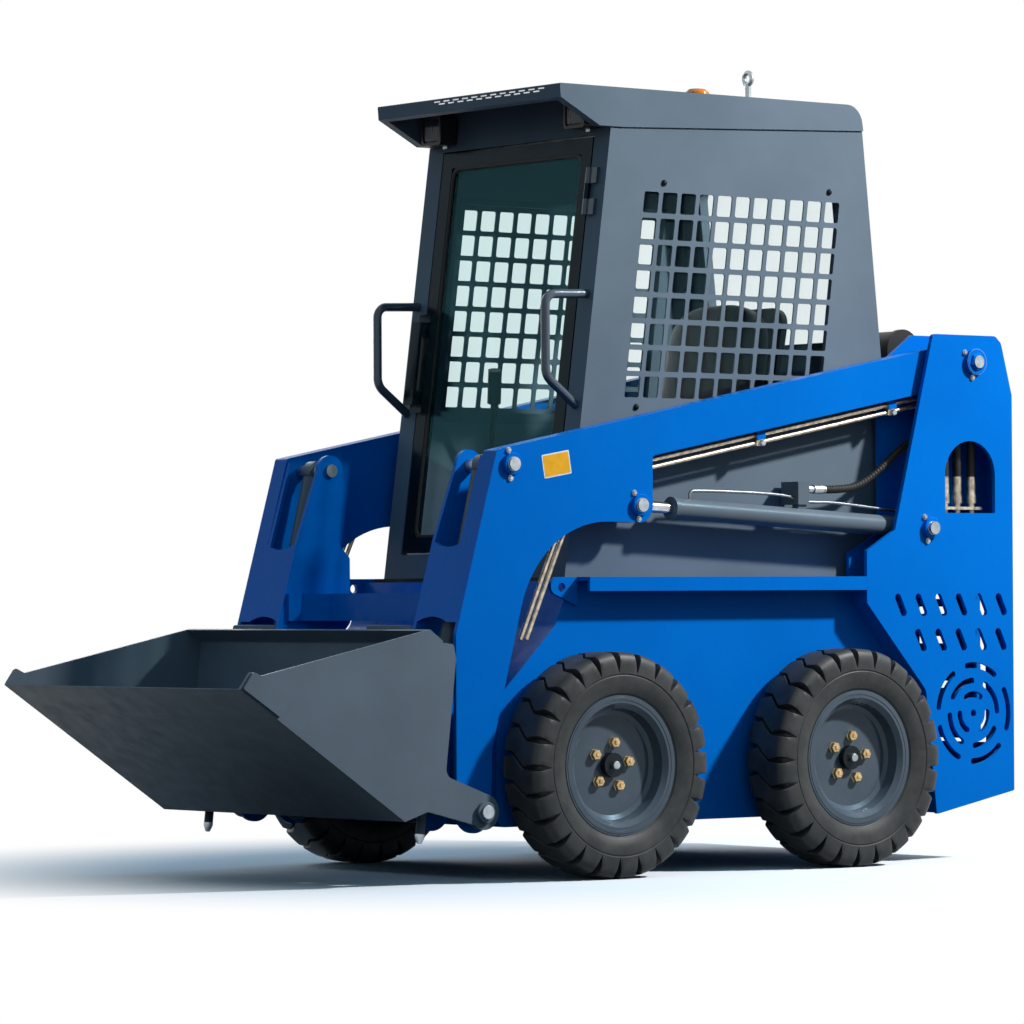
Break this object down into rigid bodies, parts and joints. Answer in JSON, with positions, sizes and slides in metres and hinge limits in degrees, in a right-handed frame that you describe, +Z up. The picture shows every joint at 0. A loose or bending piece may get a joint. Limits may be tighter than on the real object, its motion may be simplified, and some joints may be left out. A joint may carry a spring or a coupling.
{
  "type": "skid steer loader",
  "caption": "Compact skid steer loader with a glazed cab, side grilles, radial lift arms, a tilting bucket on a quick coupler and lugged solid tyres.",
  "frame": {"origin": "on the ground under the middle of the machine's length, on its middle plane", "axes": "+X forward to the bucket, +Y to the machine's left, +Z up"},
  "size_m": [2.658, 1.228, 2.2125],
  "materials": {
    "amber_plastic": "gloss",
    "black_paint": "satin",
    "blue_paint": "gloss",
    "cast_iron": "matte",
    "chrome": "polished",
    "glass": "tinted",
    "grey_paint": "satin",
    "hose_rubber": "matte",
    "lamp_plastic": "gloss",
    "pipe_steel": "bright",
    "rim_paint": "gloss",
    "seat_vinyl": "matte",
    "tyre": "matte",
    "zinc_steel": "zinc plated"
  },
  "bodies": {
    "machine": {"air_cleaner": "lamp_plastic", "axle_stubs": "zinc_steel", "beacon": "amber_plastic", "cab_back": "grey_paint", "cab_floor": "black_paint", "cab_front_frame": "grey_paint", "cab_roof": "grey_paint", "cab_side_left": "grey_paint", "cab_side_right": "grey_paint", "control_levers": "black_paint", "door_hinges": "black_paint", "engine_block": "cast_iron", "engine_hood": "grey_paint", "frame_pins": "zinc_steel", "frame_tub": "blue_paint", "grab_handles": "black_paint", "hose_brackets": "zinc_steel", "lifting_eye": "zinc_steel", "rear_frame": "blue_paint", "rear_glass": "glass", "seat": "seat_vinyl", "seat_box": "lamp_plastic", "side_glass": "glass", "side_ledges": "blue_paint", "tower_hoses": "hose_rubber", "tower_left": "blue_paint", "tower_right": "blue_paint", "work_lights": "lamp_plastic"},
    "arms": {"arm_crossmember": "blue_paint", "arm_left": "blue_paint", "arm_pins": "zinc_steel", "arm_pipes": "pipe_steel", "arm_right": "blue_paint"},
    "bucket": {"bucket_edges": "grey_paint", "bucket_shell": "grey_paint", "coupler": "grey_paint"},
    "cab_door": {"door_frame": "black_paint", "door_glass": "glass", "door_handle": "black_paint"},
    "rear_cover": {"rear_door": "blue_paint"},
    "wheel_front_left": {"rim_front_left": "rim_paint", "tyre_front_left": "tyre"},
    "wheel_front_right": {"rim_front_right": "rim_paint", "tyre_front_right": "tyre"},
    "wheel_rear_left": {"rim_rear_left": "rim_paint", "tyre_rear_left": "tyre"},
    "wheel_rear_right": {"rim_rear_right": "rim_paint", "tyre_rear_right": "tyre"},
    "lift_barrel_body_left": {"lift_barrel_left": "black_paint"},
    "lift_rod_body_left": {"lift_rod_left": "chrome"},
    "tilt_barrel_body_left": {"tilt_barrel_left": "black_paint"},
    "tilt_rod_body_left": {"tilt_rod_left": "chrome"},
    "lift_barrel_body_right": {"lift_barrel_right": "black_paint"},
    "lift_rod_body_right": {"lift_rod_right": "chrome"},
    "tilt_barrel_body_right": {"tilt_barrel_right": "black_paint"},
    "tilt_rod_body_right": {"tilt_rod_right": "chrome"}
  },
  "joints": [
    {"name": "arm_lift", "type": "hinge", "parent": "machine", "child": "arms", "pos_m": [-1.185, 0, 1.38], "axis": [0, -1, 0], "range_deg": [0, 60]},
    {"name": "bucket_tilt", "type": "hinge", "parent": "arms", "child": "bucket", "pos_m": [0.564, 0, 0.184], "axis": [0, 1, 0], "range_deg": [0, 130]},
    {"name": "cab_door_hinge", "type": "hinge", "parent": "machine", "child": "cab_door", "pos_m": [0.10952, 0.332, 1.4], "axis": [-0.1377, 0, 0.9905], "range_deg": [0, 70]},
    {"name": "rear_door_hinge", "type": "hinge", "parent": "machine", "child": "rear_cover", "pos_m": [-1.32, -0.394, 0.78], "axis": [0, 0, 1], "range_deg": [0, 100]},
    {"name": "wheel_front_left_spin", "type": "hinge", "parent": "machine", "child": "wheel_front_left", "pos_m": [0.167, 0.539, 0.295], "axis": [0, 1, 0], "continuous": true},
    {"name": "wheel_front_right_spin", "type": "hinge", "parent": "machine", "child": "wheel_front_right", "pos_m": [0.167, -0.539, 0.295], "axis": [0, 1, 0], "continuous": true},
    {"name": "wheel_rear_left_spin", "type": "hinge", "parent": "machine", "child": "wheel_rear_left", "pos_m": [-0.666, 0.539, 0.295], "axis": [0, 1, 0], "continuous": true},
    {"name": "wheel_rear_right_spin", "type": "hinge", "parent": "machine", "child": "wheel_rear_right", "pos_m": [-0.666, -0.539, 0.295], "axis": [0, 1, 0], "continuous": true},
    {"name": "lift_barrel_left_turn", "type": "hinge", "parent": "machine", "child": "lift_barrel_body_left", "pos_m": [-1.014, 0.4615, 0.918], "axis": [0, -1, 0], "range_deg": [-1, 56.84]},
    {"name": "lift_rod_left_slide", "type": "slide", "parent": "lift_barrel_body_left", "child": "lift_rod_body_left", "axis": [0.9985, 0, 0.0548], "range_m": [-0.002, 0.4863]},
    {"name": "tilt_barrel_left_turn", "type": "hinge", "parent": "arms", "child": "tilt_barrel_body_left", "pos_m": [0.437, 0.373, 1.077], "axis": [0, 1, 0], "range_deg": [-1, 1.72]},
    {"name": "tilt_rod_left_slide", "type": "slide", "parent": "tilt_barrel_body_left", "child": "tilt_rod_body_left", "axis": [0.2476, 0, -0.9689], "range_m": [-0.002, 0.3929]},
    {"name": "lift_barrel_right_turn", "type": "hinge", "parent": "machine", "child": "lift_barrel_body_right", "pos_m": [-1.014, -0.4615, 0.918], "axis": [0, -1, 0], "range_deg": [-1, 56.84]},
    {"name": "lift_rod_right_slide", "type": "slide", "parent": "lift_barrel_body_right", "child": "lift_rod_body_right", "axis": [0.9985, 0, 0.0548], "range_m": [-0.002, 0.4863]},
    {"name": "tilt_barrel_right_turn", "type": "hinge", "parent": "arms", "child": "tilt_barrel_body_right", "pos_m": [0.437, -0.373, 1.077], "axis": [0, 1, 0], "range_deg": [-1, 1.72]},
    {"name": "tilt_rod_right_slide", "type": "slide", "parent": "tilt_barrel_body_right", "child": "tilt_rod_body_right", "axis": [0.2476, 0, -0.9689], "range_m": [-0.002, 0.3929]}
  ],
  "couplings": [
    {"joint": "lift_barrel_left_turn", "follows": "arm_lift", "ratio": 0.93062},
    {"joint": "lift_rod_left_slide", "follows": "arm_lift", "m_per_rad": 0.46248},
    {"joint": "tilt_barrel_left_turn", "follows": "bucket_tilt", "ratio": 0.005558},
    {"joint": "tilt_rod_left_slide", "follows": "bucket_tilt", "m_per_rad": 0.1723},
    {"joint": "lift_barrel_right_turn", "follows": "arm_lift", "ratio": 0.93062},
    {"joint": "lift_rod_right_slide", "follows": "arm_lift", "m_per_rad": 0.46248},
    {"joint": "tilt_barrel_right_turn", "follows": "bucket_tilt", "ratio": 0.005558},
    {"joint": "tilt_rod_right_slide", "follows": "bucket_tilt", "m_per_rad": 0.1723}
  ]
}
